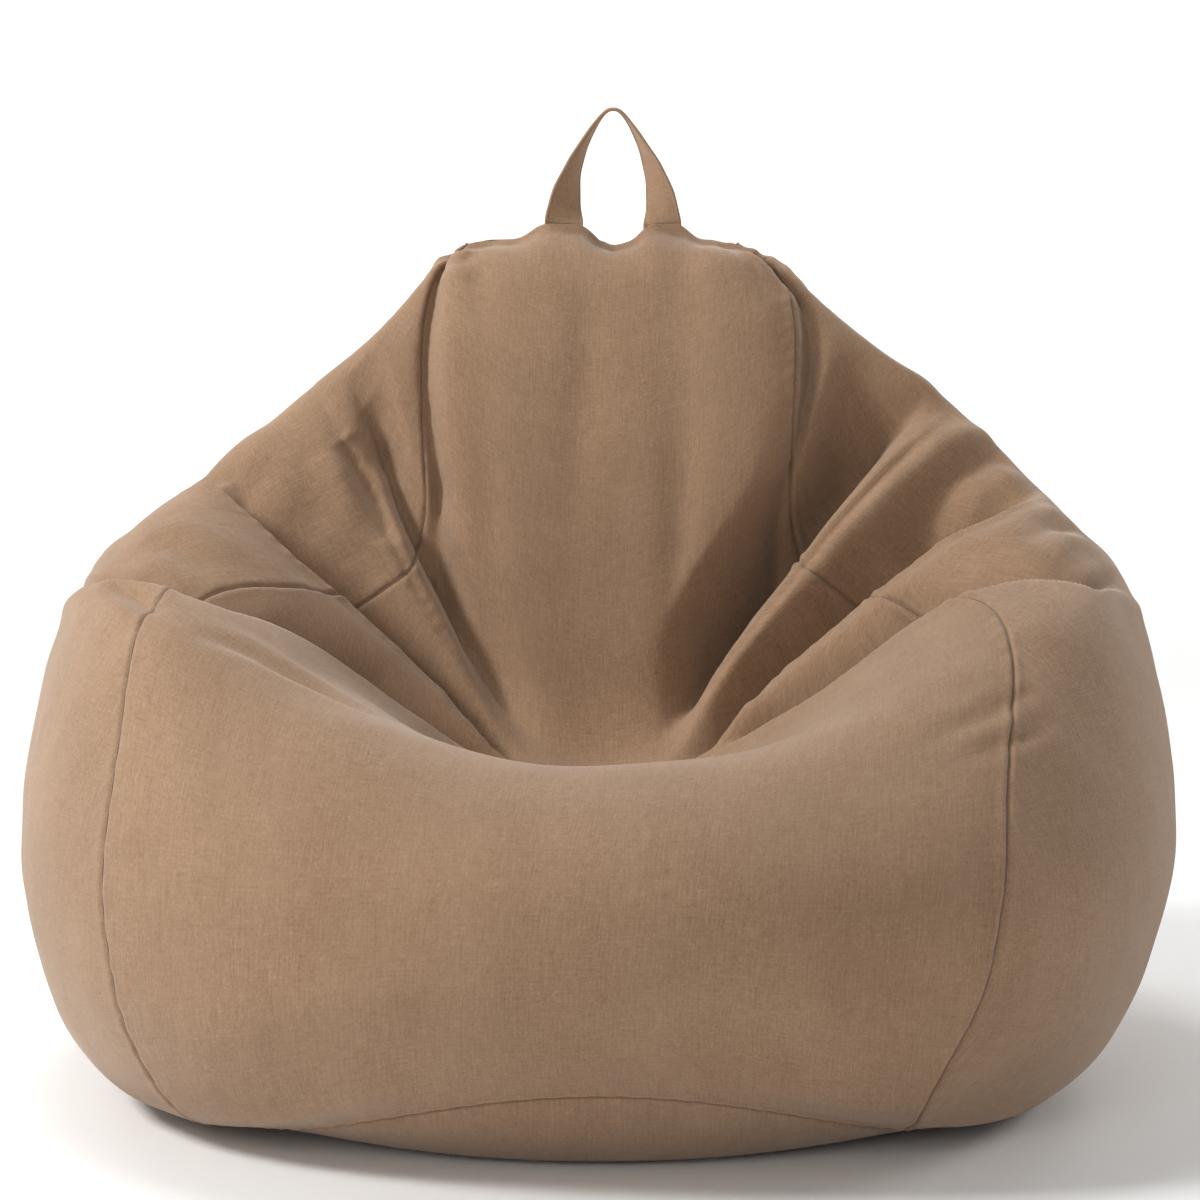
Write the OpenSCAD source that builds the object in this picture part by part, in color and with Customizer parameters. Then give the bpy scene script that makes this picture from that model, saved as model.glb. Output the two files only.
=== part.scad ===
// Bean bag chair: a sewn cover of six panels over a closed inner bag of beads, with a carry handle
// in the top seam and a curved zip down the middle of the back.
// +X is to the right seen from the front, +Y is towards the back, +Z is up; the origin is on the floor.

/* [Body] */
// Width over the side bellies
body_w = 1000; // [900:10:1100]
// Depth from the front belly to the back belly
body_d = 960; // [900:10:1020]
// Height of the top seam
back_h = 730; // [700:5:780]
// Height of the arms
arm_h = 430; // [400:5:450]
// Height of the front lip
lip_h = 318; // [300:1:330]
// Lowest point of the seat
seat_h = 240; // [215:1:260]
// Length of the top seam
top_w = 244; // [220:2:280]

/* [Cloth] */
// Thickness of the cover cloth
cover_t = 1.6; // [1.2:0.1:2]
// Thickness of the inner bag
liner_t = 0.6; // [0.4:0.1:0.8]
// Radius of the seam threads
thread_r = 0.8; // [0.6:0.1:1]

/* [Carry handle] */
// Width of the strap
strap_w = 35; // [25:1:40]
// Thickness of the folded strap
strap_t = 3.2; // [2.4:0.2:4]
// Height of the loop above the top seam
loop_h = 108; // [90:1:130]
// Sideways place of the loop
loop_x = 12; // [-20:1:20]
// Distance between the middles of the two feet
loop_span = 90; // [80:1:110]

/* [Zip] */
// Angle of the zip's lower end below the arc's centre
zip_low = 15; // [13:1:16]
// Angle of the zip's upper end above the arc's centre
zip_high = 48; // [44:1:48]
// Width of the closed coil
chain_w = 7; // [6:0.5:8]
// Width of each tape
tape_w = 15; // [12:1:16]
// Length of the pull tab
pull_l = 27; // [22:1:32]

/* [Hidden] */
$fn = 48;

// The back is an arc about a cross axis, and the zip and its slider follow it.
arc_r = 420;
arc_y = body_d / 2 - arc_r;
arc_z = 200;
arc_end = 50;
flap_gap = 5.5;     // from the middle of the back to each edge of the cloth, along the zip
ridge_gap = 1.8;    // half the slot between the front and back cloth at the top seam
tape_gap = 1;       // between the cover and what lies under it
coil_t = 2.4;
tape_t = 0.6;
slot = 0.6;         // half the gap between the two coils, where the slider's post runs
liner_in = 5.8;     // how far the inner bag lies inside the cover's outer face
fill_in = liner_in + liner_t + 6;

// How far up the back each ring above the arc lies, as shares of the way from its end to the top seam
rise = back_h - arm_h;
neck_y = [0.22, 0.42, 0.58, 0.72, 0.84, 0.94];
neck_z = [0.13, 0.30, 0.47, 0.64, 0.79, 0.91];
arc_angles = [-23, -17, -11, 0, 11.5, 23.5, 36, arc_end];
function on_arc(a) = [arc_y + arc_r * cos(a), arc_z + arc_r * sin(a)];
top_y = 210;
back_top = [top_y + ridge_gap, back_h];
function on_neck(k) =
    let (start = on_arc(arc_end), run = back_top - start)
    [start[0] + run[0] * neck_y[k], start[1] + run[1] * neck_z[k]];
back = concat([for (a = arc_angles) on_arc(a)], [for (k = [0:len(neck_y) - 1]) on_neck(k)], [back_top]);

// Smooth value of a list at any place v along it, through all of its entries
function smooth_at(list, v) =
    let (last = len(list) - 1, i = min(max(floor(v), 0), last - 1), t = v - i,
         b = list[i], c = list[i + 1],
         a = i == 0 ? 2 * b - c : list[i - 1],
         d = i + 2 > last ? 2 * c - b : list[i + 2])
    b + 0.5 * t * (c - a + t * (2 * a - 5 * b + 4 * c - d + t * (3 * (b - c) + d - a)));
function back_at(v) = v <= len(arc_angles) - 1 ? on_arc(smooth_at(arc_angles, v)) : smooth_at(back, v);

// Each row is one ring of the cover, from the base seam to the top seam: share of the half width, share of
// the half depth at the front, height at the front, height at the side, angle of the front seam,
// angle of the back seam, how square the ring is, how narrow its dip at the front is,
// and its roundness, which is 1 for an oval and nearer 0 for a ring with flat front and back.
shape = [
    [0.660, -0.868, 0.23 * lip_h, 2,                        52, 140, 0.10, 4.0, 1],
    [0.800, -0.920, 0.32 * lip_h, 7,                        45, 139, 0.10, 4.0, 1],
    [0.902, -0.960, 0.42 * lip_h, 46,                       42, 138, 0.11, 3.5, 1],
    [0.968, -1.000, 0.57 * lip_h, 0.27 * arm_h,             42, 137, 0.12, 3.0, 1],
    [1.000, -0.982, 0.77 * lip_h, 0.50 * arm_h,             42, 136, 0.12, 2.8, 1],
    [0.972, -0.872, 0.92 * lip_h, 0.78 * arm_h,             44, 134, 0.10, 3.0, 1],
    [0.908, -0.698, lip_h,        arm_h,                    49, 131, 0.08, 3.3, 1],
    [0.824, -0.469, seat_h + 50,  arm_h + 0.13 * rise,      52, 128, 0.04, 3.0, 1],
    [0.722, -0.198, seat_h,       arm_h + 0.25 * rise,      48, 124, 0,    2.6, 1],
    [0.622, 0.031,  seat_h + 22,  arm_h + 0.38 * rise,      42, 120, 0,    2.5, 1],
    [0.528, 0.156,  seat_h + 110, arm_h + 0.51 * rise,      37, 116, 0,    2.5, 0.95],
    [0.436, 0.233,  seat_h + 230, arm_h + 0.64 * rise,      47, 112, 0,    2.5, 0.85],
    [0.356, 0.308,  seat_h + 352, arm_h + 0.78 * rise,      63, 108, 0,    2.5, 0.65],
    [0.290, 0.386,  seat_h + 452, arm_h + 0.91 * rise,      79, 102, 0,    2.5, 0.42],
    [top_w / body_w, (top_y - ridge_gap) * 2 / body_d, back_h, back_h - 2, 84, 97, 0, 2.5, 0.1]
];
top_ring = len(shape) - 1;
rings = [for (s = shape)
    [s[0] * body_w / 2, s[1] * body_d / 2, s[2], s[3], s[4], s[5], s[6], s[7], s[8]]];

steps = 3;                     // rows of the mesh in each ring
centre_cols = 5;               // columns in half the centre panel, in a side panel and in half the back
side_cols = 9;
back_cols = 6;
half_cols = centre_cols + side_cols + back_cols;
side_top = top_ring - 1 / steps;
zip_from = 1 + 1 / steps;      // rings between which the back is open for the zip
zip_to = 7;
base_flat = 0.79;              // share of the base that lies flat on the floor
base_edge = 0.995;
base_shares = [0.35, base_flat, 0.86, 0.93, base_edge];
inner_shares = [0.35, base_flat, 0.86, 0.93];

// Outer face of the cover at angle u from the front and height v, counted in rings
function skin(u, v) =
    let (r = smooth_at(rings, v), b = back_at(v), c = cos(u), s = sin(u),
         end_z = c > 0 ? r[2] : b[1], reach = sign(c) * pow(abs(c), r[8]) * (1 + r[6] * s * s))
    [r[0] * s * (1 + r[6] * c * c),
     (r[1] + b[0]) / 2 - (b[0] - r[1]) / 2 * reach,
     r[3] + (end_z - r[3]) * pow(abs(c), r[7])];

function unit(w) = w / norm(w);
function outward(u, v) =
    unit(cross(skin(u + 0.5, v) - skin(u - 0.5, v), skin(u, v + 0.02) - skin(u, v - 0.02)));

// A point t inside the outer face; on the top seam's ridge it is straight below
function layer(u, v, t) =
    v >= top_ring ? skin(u, v) - [0, 0, 2.2 * t] : skin(u, v) - t * outward(u, v);

// The base: flat on the floor, and curving up to its seam
base_mid = (rings[0][1] + back[0][0]) / 2;
function base_at(u, s) =
    let (p = skin(u, 0), lift = max(0, (s - base_flat) / (1 - base_flat)))
    [p[0] * s, base_mid + (p[1] - base_mid) * s, p[2] * lift * lift];
function base_out(u, s) =
    unit(cross(base_at(u + 0.5, s) - base_at(u - 0.5, s), base_at(u, s + 0.01) - base_at(u, s - 0.01)));
function base_layer(u, s, t) = base_at(u, s) - t * base_out(u, s);

// Angle of column k, from the front middle (0) to the back middle (half_cols), negative on the left
seam_lean = 8;                 // how much nearer the front middle the right front seam lies than the left
lean_top = 9;                  // ring above which both lie alike
function front_seam(v, side) = smooth_at(rings, v)[4] - side * seam_lean * max(0, 1 - pow(v / lean_top, 2));
function gap_at(v) = v > zip_from - 0.01 && v < zip_to + 0.01 ? flap_gap : 0.1;
function half_angle(k, v, gap, side) =
    let (r = smooth_at(rings, v), front = front_seam(v, side))
    k <= centre_cols ? front * k / centre_cols
    : k <= centre_cols + side_cols ? front + (r[5] - front) * (k - centre_cols) / side_cols
    : r[5] + (180 - asin(gap / r[0]) - r[5]) * (k - centre_cols - side_cols) / back_cols;
function angle_at(k, v, gap) = sign(k) * half_angle(abs(k), v, gap, sign(k));
function heights(top, from = 0) = [for (j = [round(from * steps):round(top * steps)]) j / steps];

function quad(a, b, c, d) = [[a, b, c], [a, c, d]];
function joined(lists) = [for (l = lists) each l];

// A piece of cloth t0 to t1 inside the outer face, over columns k0 to k1 and up to height top
module cloth(k0, k1, top, t0, t1) {
    vs = heights(top);
    n = k1 - k0;
    m = len(vs) - 1;
    points = [for (t = [t0, t1]) for (k = [k0:k1]) for (v = vs) layer(angle_at(k, v, gap_at(v)), v, t)];
    function at(l, i, j) = (l * (n + 1) + i) * (m + 1) + j;
    faces = joined([
        for (i = [0:n - 1]) for (j = [0:m - 1])
            quad(at(0, i, j), at(0, i, j + 1), at(0, i + 1, j + 1), at(0, i + 1, j)),
        for (i = [0:n - 1]) for (j = [0:m - 1])
            [[at(1, i, j), at(1, i + 1, j + 1), at(1, i, j + 1)],
             [at(1, i, j), at(1, i + 1, j), at(1, i + 1, j + 1)]],
        for (i = [0:n - 1]) quad(at(0, i, 0), at(0, i + 1, 0), at(1, i + 1, 0), at(1, i, 0)),
        for (i = [0:n - 1]) quad(at(0, i + 1, m), at(0, i, m), at(1, i, m), at(1, i + 1, m)),
        for (j = [0:m - 1]) quad(at(0, 0, j), at(1, 0, j), at(1, 0, j + 1), at(0, 0, j + 1)),
        for (j = [0:m - 1]) quad(at(0, n, j), at(0, n, j + 1), at(1, n, j + 1), at(1, n, j))
    ]);
    polyhedron(points, faces, convexity = 6);
}

// A closed skin through a stack of rings of the same number of points, with a middle point at each end.
// From ring inside_from on the rings run back down inside, and their squares are cut the other way,
// so that both faces of a thin wall are alike.
module stack(loops, first, last, inside_from = 1000) {
    n = len(loops[0]);
    m = len(loops) - 1;
    function at(i, j) = j * n + i % n;
    faces = joined([
        for (i = [0:n - 1]) for (j = [0:m - 1])
            j < inside_from
                ? quad(at(i, j), at(i, j + 1), at(i + 1, j + 1), at(i + 1, j))
                : quad(at(i, j + 1), at(i + 1, j + 1), at(i + 1, j), at(i, j)),
        [for (i = [0:n - 1]) [at(i, 0), at(i + 1, 0), (m + 1) * n]],
        [for (i = [0:n - 1]) [at(i + 1, m), at(i, m), (m + 1) * n + 1]]
    ]);
    polyhedron(concat(joined(loops), [first, last]), faces, convexity = 6);
}

columns = [for (k = [-half_cols:half_cols - 1]) k];
function floor_loops(t, shares) = [for (s = shares) [for (k = columns) base_layer(angle_at(k, 0, 0), s, t)]];
// Rings t inside the cover, from the floor up to height top, without the rows next to the base seam
function bag_loops(t, top) = concat(floor_loops(t, inner_shares),
    [for (v = heights(top, 1 / steps)) [for (k = columns) layer(angle_at(k, v, 0), v, t)]]);
function backwards(list) = [for (i = [len(list) - 1:-1:0]) list[i]];

// A thread along a list of points, as a tube with its frame turned by the outward direction of each
module thread(path, outs, r, sides = 6) {
    m = len(path) - 1;
    loops = [for (j = [0:m])
        let (along = unit(path[min(j + 1, m)] - path[max(j - 1, 0)]),
             side = unit(cross(along, outs[j])), out = cross(side, along))
        [for (i = [0:sides - 1])
            path[j] + out * (r + 0.15) + r * (side * cos(360 * i / sides) + out * sin(360 * i / sides))]];
    stack(loops, (loops[0][0] + loops[0][3]) / 2, (loops[m][0] + loops[m][3]) / 2);
}

module seam_thread(col, from, to) {
    vs = [for (j = [round(from * steps):round(to * steps)]) j / steps];
    path = [for (v = vs) skin(angle_at(col, v, 0), v)];
    outs = [for (v = vs) outward(angle_at(col, v, 0), v)];
    thread(path, outs, thread_r);
}

// Cover
module centre_panel() color("tan") cloth(-centre_cols, centre_cols, top_ring, 0, cover_t);
module right_side_panel() color("tan") cloth(centre_cols, centre_cols + side_cols, side_top, 0, cover_t);
module left_side_panel() color("tan") cloth(-centre_cols - side_cols, -centre_cols, side_top, 0, cover_t);
module rear_right_panel() color("tan") cloth(centre_cols + side_cols, half_cols, top_ring, 0, cover_t);
module rear_left_panel() color("tan") cloth(-half_cols, -centre_cols - side_cols, top_ring, 0, cover_t);
module base_panel() color("tan") stack(
    concat(floor_loops(0, base_shares), backwards(floor_loops(cover_t, base_shares))),
    [0, base_mid, 0], [0, base_mid, cover_t], len(base_shares));

// Inner bag: its top gathers in to a narrow mouth, which its own zip closes
neck_v = top_ring - 2;
fill_v = neck_v - 1 / steps;
mouth_l = 0.48 * top_w;
mouth_w = 10;
mouth_y = (smooth_at(rings, neck_v)[1] + back_at(neck_v)[0]) / 2 + 18;
mouth_z = back_at(neck_v)[1] + 3;
function mouth_loop(t) = [for (k = columns) let (a = angle_at(k, neck_v, 0))
    [mouth_l / 2 * sin(a), mouth_y - mouth_w / 2 * cos(a), mouth_z - t]];
module inner_liner() color("white") {
    outer = concat(bag_loops(liner_in, neck_v), [mouth_loop(0)]);
    inner = concat(bag_loops(liner_in + liner_t, neck_v), [mouth_loop(liner_t)]);
    stack(concat(outer, backwards(inner)), [0, base_mid, liner_in], [0, base_mid, liner_in + liner_t],
        len(outer));
}
module bead_fill() color("white") stack(bag_loops(fill_in, fill_v),
    [0, base_mid, fill_in], [0, mouth_y - 26, smooth_at(rings, fill_v)[3] - 26]);

module stadium(l, w) {
    square([l - w, w], center = true);
    for (side = [-1, 1]) translate([side * (l - w) / 2, 0]) circle(d = w);
}
module liner_zip() color("whitesmoke") translate([0, mouth_y, mouth_z + 0.1]) {
    linear_extrude(0.8) stadium(mouth_l + 12, 22);
    translate([0, 0, 0.8]) linear_extrude(1.4) stadium(mouth_l, 5);
}

// Top seam and carry handle
seam_depth = 12;
seam_gap_t = 2 * ridge_gap - 0.6;
module at_feet(w) for (foot = [-1, 1])
    translate([loop_x + foot * loop_span / 2, 0]) square([w, seam_gap_t], center = true);
module top_seam_tape() color("tan") translate([0, top_y, back_h - seam_depth]) linear_extrude(seam_depth)
    difference() {
        stadium(top_w - 30, seam_gap_t);
        at_feet(strap_w + 0.4);
    }
module handle_sewn_ends() color("sienna") translate([0, top_y, back_h - seam_depth])
    linear_extrude(seam_depth) at_feet(strap_w);

strap_sections = 28;
strap_axis_z = back_h + 0.6 + strap_t / 2;
// The strap's middle line is half an ellipse, steep at its feet, and it twists a quarter turn to its crown.
function strap_mid(a) =
    [loop_x - loop_span / 2 * cos(a) * (1 - 0.45 * pow(sin(a), 2)), top_y,
     strap_axis_z + (back_h + loop_h - strap_t / 2 - strap_axis_z) * sin(a)];
function strap_loop(a) =
    let (mid = strap_mid(a), along = unit(strap_mid(a + 0.5) - strap_mid(a - 0.5)),
         twist = 90 * pow(sin(a), 1.2),
         flat = unit([along[2], 0, -along[0]]),
         wide = flat * cos(twist) + [0, 1, 0] * sin(twist),
         w = strap_w / 2 - 9 * pow(sin(a), 2),
         thin = unit(cross(along, wide)))
    [for (c = [[-1, -1], [1, -1], [1, 1], [-1, 1]]) mid + wide * w * c[0] + thin * strap_t / 2 * c[1]];
module carry_handle() color("sienna") {
    stack([for (i = [0:strap_sections]) strap_loop(180 * i / strap_sections)],
        strap_mid(0), strap_mid(180));
    for (foot = [-1, 1])
        translate([loop_x + foot * loop_span / 2 - strap_w / 2, top_y, strap_axis_z])
            rotate([0, 90, 0]) cylinder(d = strap_t, h = strap_w);
}

// Seam threads
module front_left_thread() color("saddlebrown") seam_thread(-centre_cols, 0, side_top);
module front_right_thread() color("saddlebrown") seam_thread(centre_cols, 0, side_top);
module rear_left_thread() color("saddlebrown") seam_thread(-centre_cols - side_cols, 0, side_top);
module rear_right_thread() color("saddlebrown") seam_thread(centre_cols + side_cols, 0, side_top);
module rear_centre_thread() color("saddlebrown")
    seam_thread(half_cols, zip_to + 1 / steps, top_ring - 1 / steps);
base_cols = [for (k = [-half_cols:half_cols]) k];
module base_thread() color("saddlebrown") thread(
    [for (k = base_cols) base_at(angle_at(k, 0, 0), (1 + base_edge) / 2)],
    [for (k = base_cols) unit(base_out(angle_at(k, 0, 0), base_edge) + outward(angle_at(k, 0, 0), 0))],
    thread_r);

// Zip: coils, tapes and stops are turned about the arc's axis
module on_back(angle) translate([0, arc_y, arc_z]) rotate([angle, 0, 0]) translate([0, arc_r, 0]) children();
// A strip from x0 to x1, at depths d0 to d1 inside the cloth's face, between two angles
module arc_strip(x0, x1, d0, d1, from, to)
    translate([0, arc_y, arc_z]) rotate([from, 0, 0]) rotate([90, 0, 90])
        rotate_extrude(angle = to - from) translate([arc_r - d1, x0]) square([d1 - d0, x1 - x0]);

coil_in = cover_t + tape_gap;              // depth of the coils' backs and the tapes' faces
coil_out = coil_in - coil_t;
half_chain = chain_w / 2;
stop_l = 3;
stop_turn = stop_l / arc_r * 180 / PI;
module zip_left_coil() color("dimgray") arc_strip(-half_chain, -slot, coil_out, coil_in, -zip_low, zip_high);
module zip_right_coil() color("dimgray") arc_strip(slot, half_chain, coil_out, coil_in, -zip_low, zip_high);
module zip_left_tape() color("saddlebrown")
    arc_strip(-tape_w - slot, -slot, coil_in, coil_in + tape_t, -zip_low - 1, zip_high + 1);
module zip_right_tape() color("saddlebrown")
    arc_strip(slot, tape_w + slot, coil_in, coil_in + tape_t, -zip_low - 1, zip_high + 1);
module zip_stop(from) color("silver")
    arc_strip(-half_chain, half_chain, coil_out - 0.9, coil_out, from, from + stop_turn);
module zip_bottom_stop() zip_stop(-zip_low);
module zip_top_stop() zip_stop(zip_high - stop_turn);

slider_l = 12;
slider_w = 10;
plate_t = 1.2;
play = 0.3;
slider_half_turn = slider_l / 2 / arc_r * 180 / PI;
slider_rest = -zip_low + stop_turn + slider_half_turn + 0.1;
slider_travel = zip_high - stop_turn - slider_half_turn - 0.1 - slider_rest;
plate_y = -coil_out + play;                // underside of the upper plate, from the cloth's face
bridge_w = 2;
bridge_h = 3;
pin_r = 0.65;
pin_y = plate_y + plate_t + 0.45 + pin_r;
module zip_slider() color("gray") on_back(slider_rest) {
    translate([-slider_w / 2, plate_y, -slider_l / 2]) cube([slider_w, plate_t, slider_l]);
    low = -coil_in - tape_t - play - 1;
    translate([-slider_w / 2, low, -slider_l / 2]) cube([slider_w, 1, slider_l]);
    for (side = [-1, 1])
        translate([side * (slider_w / 2 - 0.6) - 0.6, -coil_in + play, -slider_l / 2])
            cube([1.2, plate_y + coil_in - play, slider_l]);
    translate([-slot + 0.15, low, -1]) cube([2 * slot - 0.3, plate_y - low, 2]);
    difference() {
        translate([-bridge_w / 2, plate_y + plate_t, -4.5]) cube([bridge_w, bridge_h, 9]);
        translate([-bridge_w, plate_y + plate_t - 0.01, -3.4]) cube([2 * bridge_w, bridge_h - 1, 6.8]);
    }
}

pull_w = 7;
pull_t = 1.6;
pull_arm = 1.2;
// The pull hangs straight down from its pin; its own frame has the pin at the origin and hangs along -Z.
pull_pin = on_arc(slider_rest) + pin_y * [cos(slider_rest), sin(slider_rest)];
module zip_pull() color("gray") translate([0, pull_pin[0], pull_pin[1]]) {
    translate([-pull_w / 2, 0, 0]) rotate([0, 90, 0]) cylinder(r = pin_r, h = pull_w);
    translate([0, pull_t / 2, 0]) rotate([90, 0, 0]) linear_extrude(pull_t) difference() {
        union() {
            translate([-pull_w / 2, -pull_l + pull_w / 2]) square([pull_w, pull_l - pull_w / 2 + pin_r]);
            translate([0, -pull_l + pull_w / 2]) circle(d = pull_w);
        }
        translate([-pull_w / 2 + pull_arm, -6.4]) square([pull_w - 2 * pull_arm, 8]);
        translate([0, -pull_l + pull_w / 2]) circle(d = 2.6);
    }
}

centre_panel();
left_side_panel();
right_side_panel();
rear_left_panel();
rear_right_panel();
base_panel();
inner_liner();
liner_zip();
bead_fill();
top_seam_tape();
handle_sewn_ends();
carry_handle();
front_left_thread();
front_right_thread();
rear_left_thread();
rear_right_thread();
rear_centre_thread();
base_thread();
zip_left_tape();
zip_right_tape();
zip_left_coil();
zip_right_coil();
zip_bottom_stop();
zip_top_stop();
zip_slider();
zip_pull();
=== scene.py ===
import math
import bmesh
import bpy
import numpy as np
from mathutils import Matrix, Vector
from mathutils.bvhtree import BVHTree


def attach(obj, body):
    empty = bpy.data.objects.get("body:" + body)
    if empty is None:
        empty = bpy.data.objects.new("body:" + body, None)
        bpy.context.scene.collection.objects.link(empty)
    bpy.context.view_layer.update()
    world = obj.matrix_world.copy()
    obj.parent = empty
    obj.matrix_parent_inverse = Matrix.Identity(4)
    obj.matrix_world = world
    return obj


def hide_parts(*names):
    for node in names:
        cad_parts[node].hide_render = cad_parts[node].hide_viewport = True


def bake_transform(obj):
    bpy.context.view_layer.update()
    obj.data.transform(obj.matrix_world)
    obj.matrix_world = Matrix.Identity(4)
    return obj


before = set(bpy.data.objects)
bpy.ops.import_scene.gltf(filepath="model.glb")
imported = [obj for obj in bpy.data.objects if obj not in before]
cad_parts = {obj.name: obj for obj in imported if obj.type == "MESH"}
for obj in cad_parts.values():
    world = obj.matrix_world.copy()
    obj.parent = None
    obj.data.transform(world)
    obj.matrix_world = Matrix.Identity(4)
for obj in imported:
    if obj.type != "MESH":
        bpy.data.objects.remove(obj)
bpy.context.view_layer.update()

print("frame loaded:", len(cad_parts), "nodes")
scene = bpy.context.scene


# Shader helpers

class Val:
    # one output socket, with sums written as plain Python
    def __init__(self, mat, socket):
        self.mat = mat
        self.socket = socket

    def mathNode(self, operation, *values):
        return self.mat.node("ShaderNodeMath", {"operation": operation}, dict(enumerate(values)))

    def __add__(self, other): return self.mathNode("ADD", self, other)
    def __radd__(self, other): return self.mathNode("ADD", other, self)
    def __sub__(self, other): return self.mathNode("SUBTRACT", self, other)
    def __rsub__(self, other): return self.mathNode("SUBTRACT", other, self)
    def __mul__(self, other): return self.mathNode("MULTIPLY", self, other)
    def __rmul__(self, other): return self.mathNode("MULTIPLY", other, self)
    def __truediv__(self, other): return self.mathNode("DIVIDE", self, other)
    def __rtruediv__(self, other): return self.mathNode("DIVIDE", other, self)
    def __pow__(self, other): return self.mathNode("POWER", self, other)
    def __neg__(self): return self.mathNode("MULTIPLY", self, -1.0)
    def sine(self): return self.mathNode("SINE", self)
    def size(self): return self.mathNode("ABSOLUTE", self)


class Finish:
    # a material with one Principled shader
    def __init__(self, name):
        self.material = bpy.data.materials.new(name)
        self.material.use_nodes = True
        self.tree = self.material.node_tree
        self.tree.nodes.clear()
        self.shader = self.tree.nodes.new("ShaderNodeBsdfPrincipled")
        output = self.tree.nodes.new("ShaderNodeOutputMaterial")
        self.tree.links.new(self.shader.outputs[0], output.inputs[0])

    def node(self, kind, settings=None, inputs=None, out=0):
        made = self.tree.nodes.new(kind)
        for key, value in (settings or {}).items():
            if key == "stops":
                ramp = made.color_ramp
                while len(ramp.elements) < len(value):
                    ramp.elements.new(0.5)
                for element, (place, colour) in zip(ramp.elements, value):
                    element.position = place
                    element.color = colour
            else:
                setattr(made, key, value)
        for key, value in (inputs or {}).items():
            self.plug(made.inputs[key], value)
        return Val(self, made.outputs[out])

    def plug(self, socket, value):
        if isinstance(value, Val):
            self.tree.links.new(value.socket, socket)
        else:
            socket.default_value = value

    def set(self, **inputs):
        for key, value in inputs.items():
            self.plug(self.shader.inputs[key.replace("_", " ")], value)
        return self.material

    def noise(self, where, scale, detail=2.0, rough=0.5):
        return self.node("ShaderNodeTexNoise", {"noise_dimensions": "3D"},
                         {"Vector": where, "Scale": scale, "Detail": detail, "Roughness": rough})

    def stretch(self, where, x, y, z=1.0):
        return self.node("ShaderNodeVectorMath", {"operation": "MULTIPLY"}, {0: where, 1: (x, y, z)})

    def blend(self, share, a, b, how="MIX"):
        return self.node("ShaderNodeMix", {"data_type": "RGBA", "blend_type": how},
                         {"Factor": share, 6: a, 7: b}, out=2)

    def ramp(self, value, low, high):
        return self.node("ShaderNodeMapRange", {}, {"Value": value, "From Min": low, "From Max": high})

    def bump(self, height, distance, strength=1.0):
        return self.node("ShaderNodeBump", {},
                         {"Height": height, "Distance": distance, "Strength": strength})


def rgb(r, g, b):
    return (r, g, b, 1.0)


# Cover cloth: heathered linen-look weave

clothLook = {
    "base": rgb(0.290, 0.178, 0.106),
    "light": rgb(0.428, 0.290, 0.188),
    "dark": rgb(0.142, 0.082, 0.047),
    "warpPerMetre": 720.0,
    "weftPerMetre": 640.0,
    "weaveDepth": 0.00035,
}


def clothFinish(name, look):
    f = Finish(name)
    uv = f.node("ShaderNodeUVMap", {"uv_map": "cloth"})
    sway = f.noise(uv, 22.0, 2.0)
    parts = f.node("ShaderNodeSeparateXYZ", {}, {0: uv})
    x = Val(f, parts.socket.node.outputs[0])
    y = Val(f, parts.socket.node.outputs[1])
    warp = ((x + sway * 0.004) * (look["warpPerMetre"] * math.pi)).sine().size()
    weft = ((y + sway * 0.004) * (look["weftPerMetre"] * math.pi)).sine().size()
    slubsUp = f.noise(f.stretch(uv, 640.0, 38.0), 1.0, 3.0, 0.6)
    slubsAcross = f.noise(f.stretch(uv, 46.0, 560.0), 1.0, 3.0, 0.6)
    flecks = f.noise(f.stretch(uv, 420.0, 360.0), 1.0, 4.0, 0.72)
    clumps = f.noise(f.stretch(uv, 150.0, 110.0), 1.0, 3.0, 0.6)
    bands = f.noise(f.stretch(uv, 16.0, 3.0), 1.0, 3.0, 0.6)
    patches = f.noise(uv, 6.0, 3.0, 0.55)
    heather = flecks * 0.38 + slubsUp * 0.26 + slubsAcross * 0.18 + clumps * 0.18
    colour = f.blend(f.ramp(heather, 0.50, 0.64) * 0.62, look["base"], look["light"])
    colour = f.blend(f.ramp(heather, 0.49, 0.36) * 0.62, colour, look["dark"])
    colour = f.blend(f.ramp(bands, 0.40, 0.68) * 0.20, colour, look["light"])
    colour = f.blend(f.ramp(patches, 0.62, 0.35) * 0.14, colour, look["dark"])
    height = warp * 0.22 + weft * 0.22 + flecks * 1.1 + slubsUp * 0.45 + slubsAcross * 0.4
    fine = f.bump(height, look["weaveDepth"], 0.6)
    return f.set(Base_Color=colour, Roughness=0.84 + flecks * 0.12, Normal=fine,
                 Sheen_Weight=0.34, Sheen_Roughness=0.5, Sheen_Tint=rgb(0.84, 0.77, 0.70),
                 Specular_IOR_Level=0.2)


coverCloth = clothFinish("coverCloth", clothLook)
# the strap is the cover cloth with painted light: its base colour is raised because the twisted strap faces
# sideways from the lamps
strapClothPaintedLighter = clothFinish("strapClothPaintedLighter", dict(clothLook, base=rgb(0.345, 0.216, 0.132)))


def threadFinish(name, colour, shade):
    f = Finish(name)
    where = f.node("ShaderNodeTexCoord", out=3)
    strands = f.noise(where, 900.0, 3.0, 0.7)
    tone = f.ramp(strands, 0.4, 0.62)
    return f.set(Base_Color=f.blend(tone, shade, colour), Roughness=0.7 + strands * 0.2,
                 Normal=f.bump(strands, 0.0002, 0.6), Sheen_Weight=0.2)


seamThread = threadFinish("seamThread", rgb(0.285, 0.186, 0.122), rgb(0.185, 0.116, 0.074))
coilThread = threadFinish("coilThread", rgb(0.095, 0.062, 0.043), rgb(0.050, 0.033, 0.024))


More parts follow.
